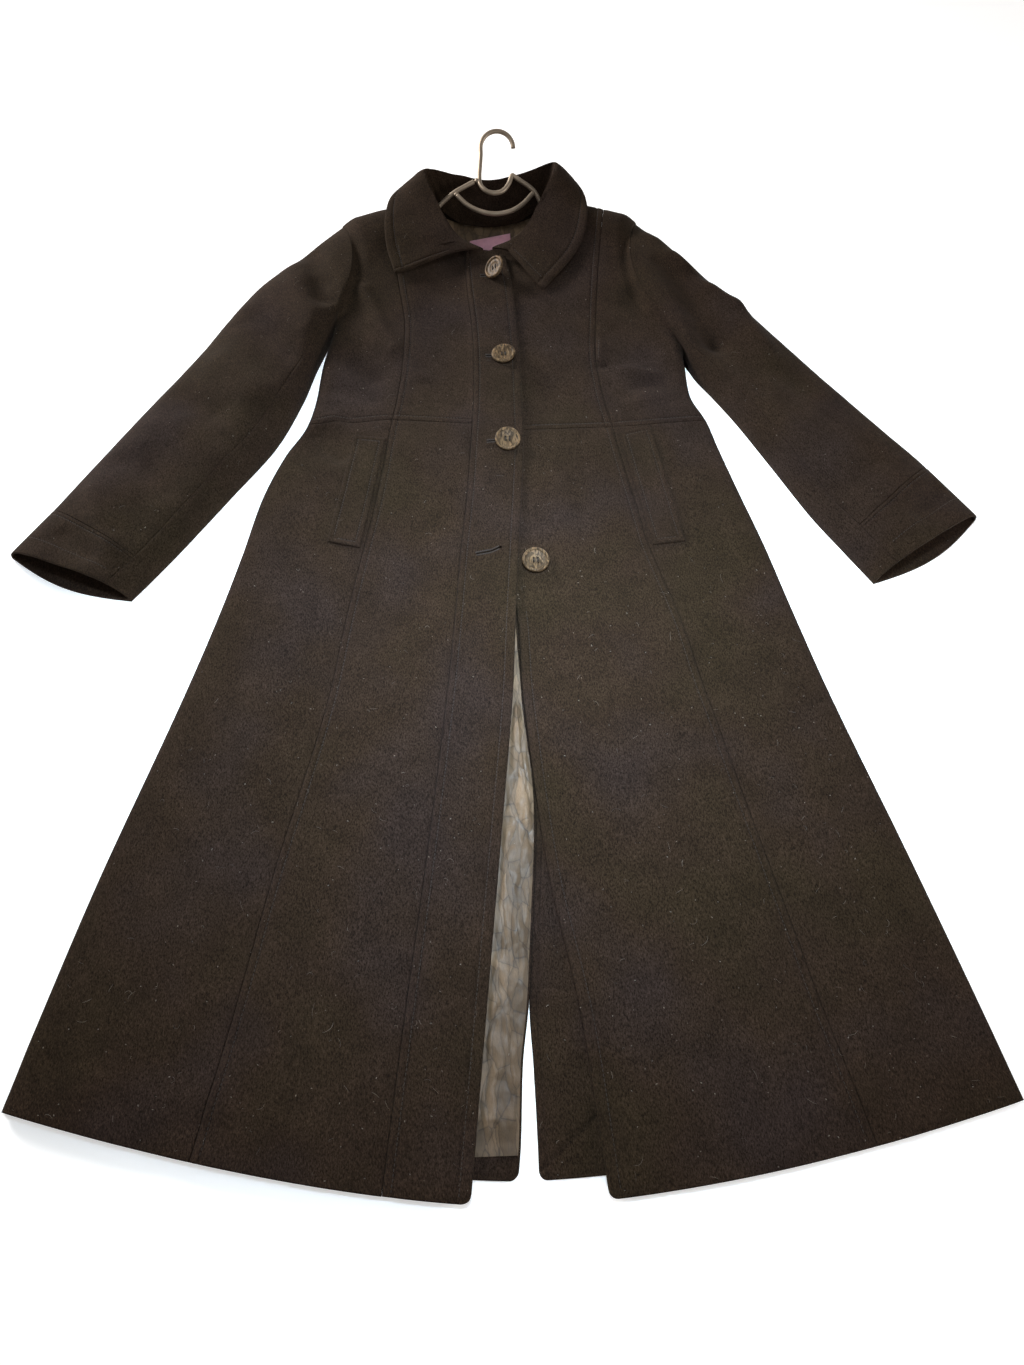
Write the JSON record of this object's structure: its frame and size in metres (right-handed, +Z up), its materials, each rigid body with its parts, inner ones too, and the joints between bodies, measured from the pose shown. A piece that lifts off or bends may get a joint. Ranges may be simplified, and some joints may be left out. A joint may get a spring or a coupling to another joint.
{
  "type": "long wool coat lying flat on a tube hanger",
  "caption": "Long A-line wool coat with turned-down collar, welt pockets and buttoned front, laid flat, front up, on a metal tube hanger.",
  "frame": {"origin": "middle of the coat's outline on the ground it lies on", "axes": "+X towards the wearer's left sleeve, +Y from the hem to the collar, +Z up out of the coat's front"},
  "size_m": [1.058, 1.252, 0.0835],
  "materials": {
    "wool": "felted brown-black wool with a short nap",
    "lining": "creased taupe satin lining",
    "label": "plain woven pink label",
    "button": "polished dark brown horn",
    "hanger": "warm grey satin metal tube"
  },
  "bodies": {
    "root": {"back_left": "wool", "back_right": "wool", "button_1": "button", "button_2": "button", "button_3": "button", "button_4": "button", "collar": "wool", "cuff_left": "wool", "cuff_right": "wool", "front_left_bodice": "wool", "front_left_side_bodice": "wool", "front_left_side_skirt": "wool", "front_left_skirt": "wool", "front_right_band": "wool", "front_right_bodice": "wool", "front_right_side_bodice": "wool", "front_right_side_skirt": "wool", "front_right_skirt": "wool", "hanger_arm": "hanger", "hanger_bar": "hanger", "hanger_hook": "hanger", "lining_neck": "lining", "lining_skirt": "lining", "neck_label": "label", "pocket_welt_left": "wool", "pocket_welt_right": "wool", "sleeve_left_under": "wool", "sleeve_left_upper": "wool", "sleeve_right_under": "wool", "sleeve_right_upper": "wool"}
  },
  "joints": []
}
